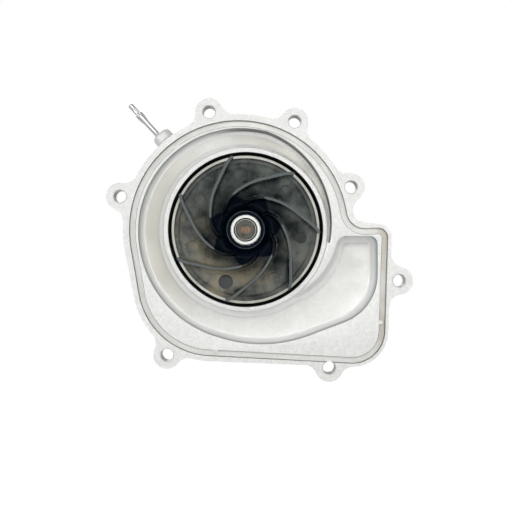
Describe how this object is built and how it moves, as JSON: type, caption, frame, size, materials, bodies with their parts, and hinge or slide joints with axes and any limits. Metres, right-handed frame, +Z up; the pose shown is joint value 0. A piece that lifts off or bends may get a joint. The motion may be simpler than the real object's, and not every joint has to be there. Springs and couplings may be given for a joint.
{
  "type": "water pump",
  "caption": "Engine coolant pump with a cast scroll housing, a bolted flange with a seal groove, an open swept-blade impeller, a face seal and a ribbed belt pulley.",
  "frame": {"origin": "where the shaft axis crosses the flange's mating face", "axes": "+Y along the shaft from the engine towards the belt pulley, +Z up as the pump is fitted, +X to the right for someone who looks at the mating face"},
  "size_m": [0.2211, 0.1111, 0.2044],
  "materials": {
    "cast_aluminium": "as-cast grain, with the mating face and bores machined bright",
    "moulded_black": "dark moulded phenolic with a soft gloss",
    "bright_steel": "turned bright",
    "bearing_steel": "ground, with a slightly stained end",
    "plated_steel": "bright plating",
    "coated_steel": "black coat with a low sheen",
    "black_rubber": "matt",
    "carbon": "lapped carbon graphite",
    "ceramic": "lapped ceramic",
    "stainless": "pressed sheet and spring wire"
  },
  "bodies": {
    "housing": {"pump_housing": "cast_aluminium", "bearing_outer_ring": "bearing_steel", "bearing_front_seal": "black_rubber", "bearing_rear_seal": "black_rubber", "seal_cup": "stainless", "seal_bellows": "black_rubber", "seal_spring": "stainless", "seal_carbon_ring": "carbon", "vent_tube": "plated_steel", "leak_chamber_cap": "plated_steel"},
    "rotor": {"pump_shaft": "bearing_steel", "impeller": "moulded_black", "impeller_bush": "bright_steel", "seal_mating_sleeve": "stainless", "seal_mating_ring": "ceramic", "slinger_ring": "black_rubber", "pulley_hub": "coated_steel", "pulley": "coated_steel", "pulley_bolt_1": "plated_steel", "pulley_bolt_2": "plated_steel", "pulley_bolt_3": "plated_steel", "pulley_bolt_4": "plated_steel"},
    "front_balls": {"front_ball_row": "bearing_steel"},
    "rear_balls": {"rear_ball_row": "bearing_steel"}
  },
  "joints": [
    {"name": "shaft_spin", "type": "hinge", "parent": "housing", "child": "rotor", "pos_m": [0, 0, 0], "axis": [0, 1, 0], "continuous": true},
    {"name": "front_cage_spin", "type": "hinge", "parent": "housing", "child": "front_balls", "pos_m": [0, 0.049, 0], "axis": [0, 1, 0], "continuous": true},
    {"name": "rear_cage_spin", "type": "hinge", "parent": "housing", "child": "rear_balls", "pos_m": [0, 0.069, 0], "axis": [0, 1, 0], "continuous": true}
  ],
  "couplings": [
    {"joint": "front_cage_spin", "follows": "shaft_spin", "ratio": 0.355},
    {"joint": "rear_cage_spin", "follows": "shaft_spin", "ratio": 0.355}
  ]
}
